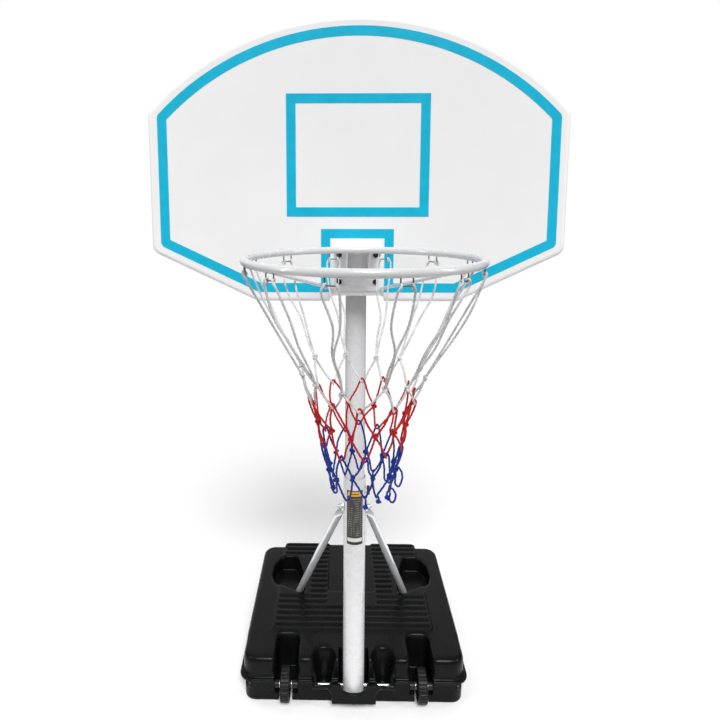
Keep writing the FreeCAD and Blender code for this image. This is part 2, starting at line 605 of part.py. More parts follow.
def back_channels():
    """The long shallow hollows that stiffen the board's back."""
    channels = []
    for x in (-440, -340, -240, -140, 140, 240, 340, 440):
        top = min(1875 - abs(x) * 0.42, 1800)
        foot = 1330 + abs(x) * 0.13
        slot = box(x - 14, x + 14, BOARD_REAR - BACK_CHANNEL_DEPTH, BOARD_REAR + 1, foot, top)
        channels.append(slot.makeFillet(13, edges_along(slot, Y_AXIS)))
    return channels


def make_board():
    board = board_blank(0, BOARD_CORNER, BOARD_FRONT, BOARD_REAR)
    board = board.makeFillet(BOARD_BEVEL, edges_at(board, Y_AXIS, BOARD_FRONT))
    hollow_rear = BOARD_REAR - BOARD_WALL - BACK_CHANNEL_DEPTH
    hollow = board_blank(14, BOARD_CORNER - 12, BOARD_FRONT + BOARD_WALL, hollow_rear)
    bosses = [box(-NOTCH_BOARD_HALF_W - 8, NOTCH_BOARD_HALF_W + 8, BOARD_FRONT, BOARD_REAR,
                  BOARD_BOTTOM, BOARD_BOTTOM + NOTCH_BOARD_H + 8)]
    holes = []
    for x, z in ring_bolt_places():
        bosses.append(cyl(12, V(x, BOARD_FRONT, z), Y_AXIS, BOARD_T))
        holes.append(cyl(M8_R + HOLE_GAP, V(x, BOARD_FRONT - 1, z), Y_AXIS, BOARD_T + 2))
    for x, z in board_screws():
        bosses.append(cyl(10, V(x, BOARD_FRONT, z), Y_AXIS, BOARD_T))
        holes.append(cyl(M6_R, V(x, BOARD_REAR - 18, z), Y_AXIS, 20))
    return board.cut([board_notch(), hollow.cut(bosses)] + holes + back_channels())


def make_border_stripe():
    y0 = BOARD_FRONT - STRIPE_T
    outer = board_blank(STRIPE_INSET, 16, y0, BOARD_FRONT)
    inner = board_blank(STRIPE_INSET + STRIPE_W, 4, y0 - 1, BOARD_FRONT + 1)
    plate = box(-PLATE_HALF_W - 1, PLATE_HALF_W + 1, y0 - 1, BOARD_FRONT + 1, BOARD_BOTTOM, PLATE_HIGH + 2)
    return outer.cut([inner, plate])


def make_target_stripe():
    y0 = BOARD_FRONT - STRIPE_T
    outer = box(-TARGET_HALF_W, TARGET_HALF_W, y0, BOARD_FRONT, TARGET_LOW, TARGET_HIGH)
    half_w = TARGET_HALF_W - STRIPE_W
    inner = box(-half_w, half_w, y0 - 1, BOARD_FRONT + 1, TARGET_LOW + STRIPE_W, TARGET_HIGH - STRIPE_W)
    return outer.cut(inner)


def make_lower_mark():
    """The small open rectangle over the ring, whose legs run down to the border stripe."""
    y0 = BOARD_FRONT - STRIPE_T
    low = BOARD_BOTTOM + STRIPE_INSET + STRIPE_W
    outer = box(-MARK_HALF_W, MARK_HALF_W, y0, BOARD_FRONT, low, MARK_TOP)
    inner = box(-MARK_HALF_W + STRIPE_W, MARK_HALF_W - STRIPE_W, y0 - 1, BOARD_FRONT + 1, low - 1,
                MARK_TOP - STRIPE_W)
    return outer.cut(inner)


def make_bracket(z0, z1, bolt_z, holes):
    """A steel channel bolted through the pole, with a plate against the board."""
    web_x = UP_R + BRACKET_GAP
    plate = box(-80, 80, BOARD_REAR, BOARD_REAR + BRACKET_T, z0, z1)
    plate = plate.makeFillet(8, edges_along(plate, Y_AXIS))
    web = box(web_x, web_x + BRACKET_T, BOARD_REAR + BRACKET_T - 1, 16, z0 + 8, z1 - 8)
    web = web.makeFillet(10, [e for e in edges_along(web, X_AXIS) if e.Vertexes[0].Point.y > 0])
    bracket = plate.fuse(both_sides(web))
    cuts = [cyl(M8_R + HOLE_GAP, V(-60, 0, bolt_z), X_AXIS, 120)]
    for x, z, r in holes:
        cuts.append(cyl(r + HOLE_GAP, V(x, BOARD_REAR - 1, z), Y_AXIS, 20))
    return bracket.cut(cuts)


def make_lower_bracket():
    holes = [(x, z, M8_R) for x, z in ring_bolt_places()]
    return make_bracket(1275, 1395, bracket_bolt_zs()[0], holes)


def make_upper_bracket():
    holes = [(x, z, M6_R) for x, z in board_screws()]
    return make_bracket(UPPER_BRACKET_Z - 40, UPPER_BRACKET_Z + 40, bracket_bolt_zs()[1], holes)


def make_bracket_bolts():
    """The bolts that pin both brackets to the pole."""
    face_x = UP_R + BRACKET_GAP + BRACKET_T
    parts = []
    for z in bracket_bolt_zs():
        head = hex_head(13, 5.5, V(-face_x, 0, z), X_AXIS * -1)
        parts.append(head.fuse(cyl(M8_R, V(-face_x - 2, 0, z), X_AXIS, 2 * face_x + 12)))
    return parts


def make_bracket_nuts():
    face_x = UP_R + BRACKET_GAP + BRACKET_T
    return [hex_nut(13, 6.5, M8_R, V(face_x, 0, z), X_AXIS) for z in bracket_bolt_zs()]


def make_board_screws():
    parts = []
    for x, z in board_screws():
        seat = BOARD_REAR + BRACKET_T
        head = cyl(6, V(x, seat, z), Y_AXIS, 4)
        head = head.makeFillet(2, edges_at(head, Y_AXIS, seat + 4))
        parts.append(head.fuse(cyl(M6_R, V(x, BOARD_REAR - 17, z), Y_AXIS, 18 + BRACKET_T)))
    return parts


# ---------------------------------------------------------------- ring and net

def ring_torus():
    return Part.makeTorus(RING_R, RING_TUBE_R, V(0, RING_Y, RING_Z), Z_AXIS)


def make_ring_plate():
    """The plate on the board, its tongue to the ring and two gussets, folded and welded."""
    front = BOARD_FRONT - PLATE_T
    plate = box(-PLATE_HALF_W, PLATE_HALF_W, front, BOARD_FRONT, PLATE_LOW, PLATE_HIGH)
    plate = plate.makeFillet(10, edges_along(plate, Y_AXIS))
    reach = RING_Y + RING_R
    tongue_low = PLATE_HIGH - PLATE_T
    tongue = prism_z([(-60, front + 1), (60, front + 1), (44, reach), (-44, reach)],
                     tongue_low, tongue_low + PLATE_T)
    parts = [tongue]
    for side in SIDES:
        x0, x1 = sorted((side * 26, side * (26 + PLATE_T)))
        top = tongue_low + 1
        corners = [V(x0, front + 1, 1308), V(x0, front + 1, top), V(x0, reach + 14, top)]
        gusset = Part.Face(Part.makePolygon(corners + corners[:1])).extrude(V(x1 - x0, 0, 0))
        parts.append(gusset)
    shape = plate.fuse(parts).cut(ring_torus())
    holes = []
    for x, z in ring_bolt_places():
        holes.append(cyl(M8_R + HOLE_GAP, V(x, front - 1, z), Y_AXIS, PLATE_T + 2))
    return shape.cut(holes)


def make_ring_braces():
    """Two rods from the plate's lower corners to the ring's sides."""
    low = V(60, BOARD_FRONT - PLATE_T + 4, PLATE_LOW + 5)
    high = V(RING_R - 4, RING_Y - 36, RING_Z - 9)
    brace = rod(BRACE_R, low, high)
    plate = box(0, 100, BOARD_FRONT - PLATE_T, BOARD_FRONT + 10, PLATE_LOW - 20, PLATE_HIGH)
    return both_sides(brace.cut([ring_torus(), plate]))


def ring_bolt_places():
    return [(x, z) for x in (-BOLT_X, BOLT_X) for z in BOLT_ZS]


def make_ring_bolts():
    seat = BOARD_FRONT - PLATE_T
    length = PLATE_T + BOARD_T + BRACKET_T + 11
    parts = []
    for x, z in ring_bolt_places():
        head = hex_head(13, 5.0, V(x, seat, z), Y_AXIS * -1)
        parts.append(head.fuse(cyl(M8_R, V(x, seat - 2, z), Y_AXIS, length + 2)))
    return parts


def make_ring_nuts():
    seat = BOARD_REAR + BRACKET_T
    return [hex_nut(13, 6.5, M8_R, V(x, seat + 1.6, z), Y_AXIS) for x, z in ring_bolt_places()]


def make_ring_washers():
    seat = BOARD_REAR + BRACKET_T
    return [washer(8, 1.6, M8_R, V(x, seat, z), Y_AXIS) for x, z in ring_bolt_places()]


def hook_angle(k):
    return math.radians(360.0 / HOOK_COUNT * (k + 0.5))


def make_net_hooks():
    """Wire staples welded under the ring, which the net ties to."""
    x, bend = HOOK_HALF_W, HOOK_BEND
    low = -RING_TUBE_R - HOOK_DROP
    top = 4 - RING_TUBE_R
    turn = bend * (1 - math.sqrt(0.5))
    edges = [Part.makeLine(V(-x, 0, top), V(-x, 0, low + bend)),
             Part.Arc(V(-x, 0, low + bend), V(turn - x, 0, low + turn), V(bend - x, 0, low)).toShape(),
             Part.makeLine(V(bend - x, 0, low), V(x - bend, 0, low)),
             Part.Arc(V(x - bend, 0, low), V(x - turn, 0, low + turn), V(x, 0, low + bend)).toShape(),
             Part.makeLine(V(x, 0, low + bend), V(x, 0, top))]
    section = Part.Wire(Part.makeCircle(HOOK_WIRE_R, V(-x, 0, top), Z_AXIS))
    wire = Part.Wire(edges).makePipeShell([section], True, False)
    hooks = []
    for k in range(HOOK_COUNT):
        a = hook_angle(k)
        hook = wire.copy()
        hook.rotate(V(0, 0, 0), Z_AXIS, math.degrees(a) + 90)
        hook.translate(V(RING_R * math.cos(a), RING_Y + RING_R * math.sin(a), RING_Z))
        hooks.append(hook.cut(ring_torus()))
    return hooks


def knot_place(row, k):
    radius, z, turn = NET_ROWS[row]
    a = hook_angle(k + turn)
    return V(radius * math.cos(a), RING_Y + radius * math.sin(a), z)


def strand(start, end, trim_end):
    """A cord of hexagonal section from one knot's middle towards the next."""
    way = end - start
    return aimed(polygon_bar(6, CORD_R, way.Length - trim_end), start, way)


def knot(place):
    return aimed(polygon_bar(8, KNOT_R, 2 * KNOT_R), place - V(0, 0, KNOT_R), Z_AXIS)


def strand_ends(row, k):
    """The knots of the next row that the strands from one knot go down to."""
    turn, turn_below = NET_ROWS[row][2], NET_ROWS[row + 1][2]
    if turn_below == turn:
        return [k]
    return [k, k - 1] if turn == 0.0 else [k, k + 1]


def make_net_part(knot_rows, last_gap):
    """One colour of the net: its rows of knots and the strands that leave them downwards."""
    pieces = []
    for row in knot_rows:
        trim = last_gap if row == knot_rows[-1] else 0
        for k in range(HOOK_COUNT):
            here = knot_place(row, k)
            pieces.append(knot(here))
            for end in strand_ends(row, k):
                pieces.append(strand(here, knot_place(row + 1, end), trim))
    return pieces[0].multiFuse(pieces[1:])


def make_parts():
    return {
        "base_tank": make_tank(),
        "ballast": make_ballast(),
        "filler_cap": make_filler_cap(),
        "filler_cap_seal": make_cap_seal(),
        "axle_rod": make_axle(),
        "axle_end_caps": make_axle_caps(),
        "wheel_left": make_wheel(-1),
        "wheel_right": make_wheel(1),
        "wheel_washers": make_wheel_washers(),
        "wheel_spacers": make_wheel_spacers(),
        "lower_pole": make_lower_pole(),
        "pole_foot_plug": make_pole_foot(),
        "guide_bush": make_guide_bush(),
        "strut_left": mirror_x(make_strut()),
        "strut_right": make_strut(),
        "strut_studs": make_strut_studs(),
        "strut_nuts": make_strut_nuts(),
        "strut_washers": make_strut_washers(),
        "strut_foot_bolts": make_strut_foot_bolts(),
        "pole_sticker": make_label(),
        "clamp_nut": make_knob_nut(),
        "clamp_knob": make_clamp_knob(),
        "clamp_screw": make_clamp_screw(),
        "upper_pole": make_upper_pole(),
        "pole_top_cap": make_pole_cap(),
        "backboard": make_board(),
        "border_stripe": make_border_stripe(),
        "target_stripe": make_target_stripe(),
        "lower_mark_stripe": make_lower_mark(),
        "board_bracket_lower": make_lower_bracket(),
        "board_bracket_upper": make_upper_bracket(),
        "bracket_bolts": make_bracket_bolts(),
        "bracket_nuts": make_bracket_nuts(),
        "board_screws": make_board_screws(),
        "ring_plate": make_ring_plate(),
        "ring": ring_torus(),
        "ring_braces": make_ring_braces(),
        "ring_bolts": make_ring_bolts(),
        "ring_nuts": make_ring_nuts(),
        "ring_washers": make_ring_washers(),
        "net_hooks": make_net_hooks(),
        "net_white": make_net_part([0, 1], KNOT_GAP),
        "net_red": make_net_part([2, 3], KNOT_GAP),
        "net_blue": make_net_part([4, 5], 0),
    }


def main():
    os.makedirs("parts", exist_ok=True)
    for name, made in make_parts().items():
        solids = made if isinstance(made, list) else [made]
        shape = Part.makeCompound([s for piece in solids for s in piece.Solids])
        print(name, len(shape.Solids), "solids", round(shape.Volume / 1000, 1), "cm3", shape.isValid())
        shape.exportStep(os.path.join("parts", name + ".step"))


main()
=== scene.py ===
"""Looks of the portable basketball hoop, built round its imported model.

The frame, in metres: +Z up, the board faces -Y, and the origin is on the floor under the pole's axis.
"""

import json
import math
import random

import bmesh
import bpy
import numpy as np
from mathutils import Matrix, Vector


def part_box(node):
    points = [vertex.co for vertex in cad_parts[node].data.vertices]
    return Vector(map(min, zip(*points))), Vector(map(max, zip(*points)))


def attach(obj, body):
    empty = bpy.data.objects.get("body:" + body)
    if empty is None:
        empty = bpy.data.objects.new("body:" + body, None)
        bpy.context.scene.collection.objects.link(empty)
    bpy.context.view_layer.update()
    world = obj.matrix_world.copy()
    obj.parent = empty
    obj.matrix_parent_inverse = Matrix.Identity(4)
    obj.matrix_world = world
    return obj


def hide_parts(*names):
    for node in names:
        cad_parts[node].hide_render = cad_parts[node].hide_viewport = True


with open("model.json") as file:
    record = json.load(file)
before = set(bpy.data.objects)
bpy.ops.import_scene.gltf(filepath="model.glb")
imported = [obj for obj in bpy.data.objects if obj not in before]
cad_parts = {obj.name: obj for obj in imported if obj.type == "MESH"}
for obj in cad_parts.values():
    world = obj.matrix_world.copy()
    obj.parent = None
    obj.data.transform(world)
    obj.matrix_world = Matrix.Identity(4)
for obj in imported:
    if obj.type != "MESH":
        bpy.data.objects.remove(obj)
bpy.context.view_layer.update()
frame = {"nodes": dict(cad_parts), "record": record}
NODES = frame["nodes"]

# Camera, in front of the hoop, just above the height of the ring
CAMERA_PLACE = (-0.0478, -1.5491, 1.4941)
CAMERA_PITCH, CAMERA_YAW, CAMERA_ROLL = 0.1203, -0.0172, 0.0007
CAMERA_LENS, CAMERA_SENSOR = 28.15, 36.0
CAMERA_SHIFT = (0.0428, -0.1206)

# Light: an even room, a high lamp in front, a very soft one behind, and two tall soft boxes
WORLD_LIGHT = 0.12
SUNS = {"high_lamp": (2.75, 22.0, (40.0, 0.0, 7.0)), "back_light": (1.15, 90.0, (-50.0, 0.0, 12.0))}
SOFT_BOX_SIZE, SOFT_BOX_POWER = (0.14, 1.9), 27.0
SOFT_BOX_PLACES = [(-2.7, -1.2, 2.2), (2.8, -1.1, 2.2)]
SOFT_BOX_AIM = (0.0, 0.0, 0.6)

# Nodes whose finish differs from the rest of their slot; the ring plate gets a lighter copy of the white
# paint, painted light against the ring's shade on it
OWN_FINISH = {"strut_left": "strut_steel", "strut_right": "strut_steel", "net_hooks": "hook_wire",
              "ring_bolts": "dark_bolt", "ring_plate": "plate_painted_light"}

# Skins: voxel sizes, passes of smoothing everywhere, and passes where the tank is rounded further
TANK_VOXEL, WHEEL_VOXEL = 0.0024, 0.001
SKIN_PASSES, SOFT_PASSES = 2, 120

# Where the tank is rounded further, as the places where the extra rounding starts and is full
BLOCK_X, BLOCK_FRONT, BLOCK_Z = (0.066, 0.078), (-0.105, -0.075), (0.078, 0.092)
EDGE_HALF_W, EDGE_Y, EDGE_REAR, EDGE_Z = 0.285, (0.085, 0.095), 0.117, (0.12, 0.13)
POCKET_X, POCKET_Y, POCKET_Z = (0.155, 0.175), (0.275, 0.295), (0.088, 0.10)
POCKET_OUT, POCKET_REAR = 0.305, 0.505
RIBS_HALF_W, RIBS_Y, RIBS_Z = 0.256, (0.108, 0.116), (0.128, 0.134)
POCKET_SHARE, RIBS_SHARE = 0.6, 0.09

# Floor: a disc that fades into the white room
FLOOR_R, FLOOR_FADE_START, FLOOR_FADE_END = 3.2, 0.8, 2.6

# Net: rows of knots below the ring, as radius, drop under the ring's middle, and half a step of turn
HOOKS = 12
NET_ROWS = {"hook": (0.233, 0.021, 0.0), "white": (0.127, 0.229, 0.0), "tie_red": (0.110, 0.275, 0.5),
            "red": (0.094, 0.330, 0.0), "tie_blue": (0.081, 0.374, 0.5), "blue": (0.071, 0.428, 0.0),
            "end": (0.062, 0.468, 0.5)}
CORD_R = 0.0022
CORD_STEP, CORD_SIDES = 0.0016, 12
LAY_LENGTH = 0.0105
KNOT_SIZE = 0.0018
STAPLE_HALF_W = 0.0100
TIE_OVER = 0.0026
TAILS = (1, 5, 8, 9, 10)


# ---------------------------------------------------------------- helpers

def link(name, mesh):
    obj = bpy.data.objects.new(name, mesh)
    bpy.context.scene.collection.objects.link(obj)
    return obj


def smooth_shade(mesh):
    mesh.polygons.foreach_set("use_smooth", [True] * len(mesh.polygons))
    mesh.update()


def mesh_object(name, verts, faces, smooth=True):
    mesh = bpy.data.meshes.new(name)
    mesh.from_pydata([tuple(v) for v in verts], [], faces)
    if smooth:
        smooth_shade(mesh)
    return link(name, mesh)


def finished_mesh(obj):
    """The object's mesh with its modifiers applied."""
    bpy.context.view_layer.update()
    graph = bpy.context.evaluated_depsgraph_get()
    return bpy.data.meshes.new_from_object(obj.evaluated_get(graph))


def dress(obj, material):
    obj.data.materials.clear()
    obj.data.materials.append(material)
    return obj


# ---------------------------------------------------------------- materials

class Shader:
    """A node material built round one Principled shader, with textures in the piece's own space."""

    def __init__(self, name, colour, roughness, metallic=0.0, specular=0.5):
        self.material = bpy.data.materials.new(name)
        self.material.use_nodes = True
        self.tree = self.material.node_tree
        self.tree.nodes.clear()
        self.bsdf = self.add("ShaderNodeBsdfPrincipled")
        self.bsdf.inputs["Base Color"].default_value = (*colour, 1)
        self.bsdf.inputs["Roughness"].default_value = roughness
        self.bsdf.inputs["Metallic"].default_value = metallic
        self.bsdf.inputs["Specular IOR Level"].default_value = specular
        out = self.add("ShaderNodeOutputMaterial")
        self.join(self.bsdf.outputs["BSDF"], out.inputs["Surface"])
        self.place = self.add("ShaderNodeTexCoord").outputs["Object"]
        self.bumps = None

    def add(self, kind, **settings):
        node = self.tree.nodes.new(kind)
        for key, value in settings.items():
            setattr(node, key, value)
        return node

    def join(self, a, b):
        self.tree.links.new(a, b)

    def scaled(self, scale):
        """The piece's own coordinates, stretched by a different factor on each axis."""
        mapping = self.add("ShaderNodeMapping")
        mapping.inputs["Scale"].default_value = scale
        self.join(self.place, mapping.inputs["Vector"])
        return mapping.outputs["Vector"]

    def noise(self, scale, detail=2.0, stretch=None, distortion=0.0):
        node = self.add("ShaderNodeTexNoise")
        node.inputs["Scale"].default_value = scale
        node.inputs["Detail"].default_value = detail
        node.inputs["Distortion"].default_value = distortion
        self.join(self.scaled(stretch) if stretch else self.place, node.inputs["Vector"])
        return node.outputs["Fac"]

    def cells(self, scale):
        node = self.add("ShaderNodeTexVoronoi", feature="SMOOTH_F1")
        node.inputs["Scale"].default_value = scale
        self.join(self.place, node.inputs["Vector"])
        return node.outputs["Distance"]

    def ranged(self, value, low, high, start=0.3, end=0.7):
        node = self.add("ShaderNodeMapRange")
        for key, number in (("From Min", start), ("From Max", end), ("To Min", low), ("To Max", high)):
            node.inputs[key].default_value = number
        self.join(value, node.inputs["Value"])
        return node.outputs["Result"]

    def mixed(self, factor, first, second):
        """Two colours, or sockets, mixed by a factor."""
        node = self.add("ShaderNodeMix", data_type="RGBA")
        self.join(factor, node.inputs["Factor"])
        colours = [s for s in node.inputs if s.type == "RGBA"]
        for socket, value in zip(colours, (first, second)):
            if isinstance(value, tuple):
                socket.default_value = (*value, 1)
            else:
                self.join(value, socket)
        return [s for s in node.outputs if s.type == "RGBA"][0]

    def colour(self, socket):
        self.join(socket, self.bsdf.inputs["Base Color"])
        return self

    def roughness(self, socket):
        self.join(socket, self.bsdf.inputs["Roughness"])
        return self

    def bump(self, height, distance, strength=1.0):
        node = self.add("ShaderNodeBump")
        node.inputs["Distance"].default_value = distance
        node.inputs["Strength"].default_value = strength
        self.join(height, node.inputs["Height"])
        if self.bumps:
            self.join(self.bumps, node.inputs["Normal"])
        self.bumps = node.outputs["Normal"]
        self.join(self.bumps, self.bsdf.inputs["Normal"])
        return self

    def place_axis(self, axis):
        node = self.add("ShaderNodeSeparateXYZ")
        self.join(self.place, node.inputs[0])
        return node.outputs[axis]

    def maths(self, operation, first, second=0.0):
        node = self.add("ShaderNodeMath", operation=operation)
        for socket, value in zip(node.inputs, (first, second)):
            if isinstance(value, (int, float)):
                socket.default_value = value
            else:
                self.join(value, socket)
        return node.outputs[0]


def shade(colour, factor):
    return tuple(c * factor for c in colour)


def moulded(name, colour, roughness, grain=900.0, depth=0.00018, specular=0.5):
    """Moulded plastic: fine pebbled grain, faint flow marks and an uneven gloss."""
    s = Shader(name, colour, roughness, specular=specular)
    s.colour(s.mixed(s.ranged(s.noise(9.0, 4.0), 0.0, 1.0), shade(colour, 0.82), shade(colour, 1.18)))
    s.roughness(s.ranged(s.noise(26.0, 5.0, distortion=0.6), roughness - 0.06, roughness + 0.07))
    s.bump(s.noise(14.0, 2.0), 0.0012, 0.25)
    s.bump(s.cells(grain), depth, 0.8)
    return s.material


def powder_coat(name, colour, roughness):
    """Baked paint on steel, with a little orange peel."""
    s = Shader(name, colour, roughness)
    s.bsdf.inputs["Coat Weight"].default_value = 0.45
    s.bsdf.inputs["Coat Roughness"].default_value = 0.10
    s.colour(s.mixed(s.ranged(s.noise(7.0, 3.0), 0.0, 1.0), shade(colour, 0.99), shade(colour, 1.01)))
    s.roughness(s.ranged(s.noise(40.0, 4.0), roughness - 0.02, roughness + 0.03))
    s.bump(s.noise(420.0, 2.0), 0.00005, 0.15)
    return s.material


def printed(name, colour):
    """Ink on the board's grain: a touch thinner here and there."""
    s = Shader(name, colour, 0.42, specular=0.25)
    s.colour(s.mixed(s.ranged(s.noise(30.0, 5.0), 0.0, 1.0), shade(colour, 0.94), shade(colour, 1.05)))
    s.roughness(s.ranged(s.noise(60.0, 3.0), 0.36, 0.50))
    s.bump(s.noise(5.0, 1.0), 0.004, 0.22)
    s.bump(s.noise(1300.0, 2.0), 0.00012, 0.4)
    return s.material


def board_face(name, colour):
    """Blow-moulded polyethylene: satin, finely grained and never quite flat."""
    s = Shader(name, colour, 0.40)
    s.colour(s.mixed(s.ranged(s.noise(5.0, 4.0), 0.0, 1.0), shade(colour, 0.975), shade(colour, 1.01)))
    s.roughness(s.ranged(s.noise(22.0, 4.0), 0.34, 0.48))
    s.bump(s.noise(5.0, 1.0), 0.004, 0.22)
    s.bump(s.noise(1300.0, 2.0), 0.00012, 0.4)
    return s.material


def zinc(name, colour, roughness):
    """Plated steel, slightly clouded and faintly drawn along X."""
    s = Shader(name, colour, roughness, metallic=1.0)
    s.colour(s.mixed(s.ranged(s.noise(160.0, 4.0), 0.0, 1.0), shade(colour, 0.78), shade(colour, 1.1)))
    s.roughness(s.ranged(s.noise(90.0, 3.0), roughness - 0.08, roughness + 0.12))
    s.bump(s.noise(300.0, 3.0, stretch=(0.2, 3.0, 3.0)), 0.00005, 0.3)
    return s.material


def galvanised(name, colour, roughness):
    """Zinc-coated tube: half mirror, half matt, with soft clouds in the coating."""
    s = Shader(name, colour, roughness, metallic=0.45)
    s.colour(s.mixed(s.ranged(s.noise(30.0, 3.0), 0.0, 1.0), shade(colour, 0.94), shade(colour, 1.05)))
    s.roughness(s.ranged(s.noise(50.0, 3.0), roughness - 0.04, roughness + 0.05))
    return s.material


def cord(name, colour):
    """Twisted nylon: filaments along the strands, a soft sheen and uneven dye."""
    s = Shader(name, colour, 0.55, specular=0.3)
    s.bsdf.inputs["Sheen Weight"].default_value = 0.08
    s.bsdf.inputs["Sheen Roughness"].default_value = 0.45
    s.colour(s.mixed(s.ranged(s.noise(55.0, 4.0), 0.0, 1.0), shade(colour, 0.72), shade(colour, 1.12)))
    s.roughness(s.ranged(s.noise(220.0, 2.0), 0.46, 0.66))
    s.bump(s.noise(1500.0, 3.0, stretch=(1.0, 1.0, 0.35)), 0.0004, 0.7)
    return s.material


def filling(name, colour):
    """Wet sand under water."""
    s = Shader(name, colour, 0.30)
    s.colour(s.mixed(s.ranged(s.noise(900.0, 3.0), 0.0, 1.0), shade(colour, 0.6), shade(colour, 1.25)))
    s.bump(s.noise(700.0, 3.0), 0.0006, 0.6)
    return s.material


def band(s, height, low, high):
    """1 between two heights and 0 outside them."""
    return s.maths("MULTIPLY", s.maths("GREATER_THAN", height, low), s.maths("LESS_THAN", height, high))


def sticker(name, low, high):
    """A wrapped film: black border, orange head, grey panel with plain faint bars, white box at the foot."""
    s = Shader(name, (0.02, 0.02, 0.02), 0.34)
    length = high - low
    z = s.maths("DIVIDE", s.maths("SUBTRACT", s.place_axis("Z"), low), length)
    turn = s.maths("ARCTAN2", s.place_axis("X"), s.maths("MULTIPLY", s.place_axis("Y"), -1.0))
    side = s.maths("ABSOLUTE", turn)
    inside = s.maths("LESS_THAN", side, 0.70)
    across = s.maths("MAXIMUM", s.maths("SUBTRACT", side, 0.46), 0.0)
    above = s.maths("MULTIPLY", s.maths("MAXIMUM", s.maths("SUBTRACT", z, 0.938), 0.0), 5.2)
    square = s.maths("ADD", s.maths("MULTIPLY", across, across), s.maths("MULTIPLY", above, above))
    corner = s.maths("SQRT", square)
    head = s.maths("MULTIPLY", s.maths("GREATER_THAN", z, 0.895), s.maths("LESS_THAN", corner, 0.24))
    rows = s.maths("GREATER_THAN", s.maths("SINE", s.maths("MULTIPLY", z, 150.0)), 0.25)
    broken = s.maths("GREATER_THAN", s.noise(1.0, 0.0, stretch=(260.0, 260.0, 30.0)), 0.46)
    bars = s.maths("MULTIPLY", rows, broken)
    panel = s.mixed(bars, (0.045, 0.045, 0.041), (0.16, 0.16, 0.145))
    colour = s.mixed(s.maths("MULTIPLY", band(s, z, 0.145, 0.875), inside), (0.012, 0.012, 0.012), panel)
    colour = s.mixed(head, colour, (0.80, 0.36, 0.012))
    dash = s.maths("MULTIPLY", band(s, z, 0.93, 0.948), s.maths("LESS_THAN", side, 0.34))
    colour = s.mixed(dash, colour, (0.10, 0.05, 0.01))
    colour = s.mixed(s.maths("MULTIPLY", band(s, z, 0.055, 0.125), inside), colour, (0.72, 0.72, 0.69))
    s.colour(colour)
    s.roughness(s.ranged(s.noise(70.0, 3.0), 0.28, 0.42))
    s.bump(s.noise(120.0, 2.0), 0.0002, 0.3)
    return s.material


def make_materials():
    label_low, label_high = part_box("pole_sticker")
    return {
        "black_tank": moulded("black_tank", (0.0046, 0.0048, 0.0052), 0.27, grain=620.0, depth=0.00007,
                              specular=0.11),
        "black_cap": moulded("black_cap", (0.008, 0.008, 0.009), 0.36, grain=1500.0, depth=0.0001,
                             specular=0.3),
        "wheel_plastic": moulded("wheel_plastic", (0.006, 0.006, 0.0065), 0.40, grain=1400.0, depth=0.0001,
                                 specular=0.2),
        "rubber_seal": moulded("rubber_seal", (0.02, 0.02, 0.02), 0.75, grain=2000.0, depth=0.0001),
        "white_paint": powder_coat("white_paint", (0.71, 0.71, 0.72), 0.27),
        # The ring plate's white is lighter than the ring's paint: painted light that stands in for the light
        # the plate loses in the ring's shade.
        "plate_painted_light": powder_coat("plate_painted_light", (0.88, 0.88, 0.89), 0.27),
        "board_plastic": board_face("board_plastic", (0.89, 0.89, 0.89)),
        "cyan_print": printed("cyan_print", (0.008, 0.46, 0.68)),
        "zinc_steel": zinc("zinc_steel", (0.56, 0.57, 0.59), 0.34),
        "hook_wire": zinc("hook_wire", (0.26, 0.26, 0.27), 0.30),
        "dark_bolt": zinc("dark_bolt", (0.07, 0.07, 0.075), 0.38),
        "strut_steel": galvanised("strut_steel", (0.90, 0.91, 0.93), 0.18),
        "sticker_film": sticker("sticker_film", label_low.z, label_high.z),
        "cord_white": cord("cord_white", (0.70, 0.70, 0.71)),
        "cord_red": cord("cord_red", (0.56, 0.003, 0.005)),
        "cord_blue": cord("cord_blue", (0.004, 0.028, 0.30)),
        "ballast_fill": filling("ballast_fill", (0.42, 0.34, 0.22)),
    }


# ---------------------------------------------------------------- moulded skins

def drop_inner_walls(mesh):
    """Keep the outermost closed surface and leave out the walls of sealed hollows inside it."""
    work = bmesh.new()
    work.from_mesh(mesh)
    work.verts.ensure_lookup_table()
    seen = set()
    shells = []
    for first in work.verts:
        if first.index in seen:
            continue
        shell, waiting = [], [first]
        seen.add(first.index)
        while waiting:
            vert = waiting.pop()
            shell.append(vert)
            for edge in vert.link_edges:
                other = edge.other_vert(vert)
                if other.index not in seen:
                    seen.add(other.index)
                    waiting.append(other)
        shells.append(shell)
    shells.sort(key=len)
    for shell in shells[:-1]:
        bmesh.ops.delete(work, geom=shell, context="VERTS")
    work.to_mesh(mesh)
    work.free()


def block_softness(place):
    """How far the front blocks, the panel's front edge, the pockets and the ribs are rounded, from 0 to 1."""
    x, y, z = abs(place.x), place.y, place.z
    block = ramp(x, *BLOCK_X) * ramp(-y, *BLOCK_FRONT) * ramp(z, *BLOCK_Z)
    panel_edge = (ramp(EDGE_HALF_W - x, 0.0, 0.01) * ramp(y, *EDGE_Y) * ramp(EDGE_REAR - y, 0.0, 0.004)
                  * ramp(z, *EDGE_Z))
    pocket = (ramp(x, *POCKET_X) * ramp(POCKET_OUT - x, 0.0, 0.015) * ramp(y, *POCKET_Y)
              * ramp(POCKET_REAR - y, 0.0, 0.02) * ramp(z, *POCKET_Z))
    ribs = ramp(RIBS_HALF_W - x, 0.0, 0.008) * ramp(y, *RIBS_Y) * ramp(z, *RIBS_Z)
    return max(block, panel_edge, POCKET_SHARE * pocket, RIBS_SHARE * ribs)


def ramp(value, low, high):
    """0 up to low, 1 from high on, and even between them."""
    return min(1.0, max(0.0, (value - low) / (high - low)))


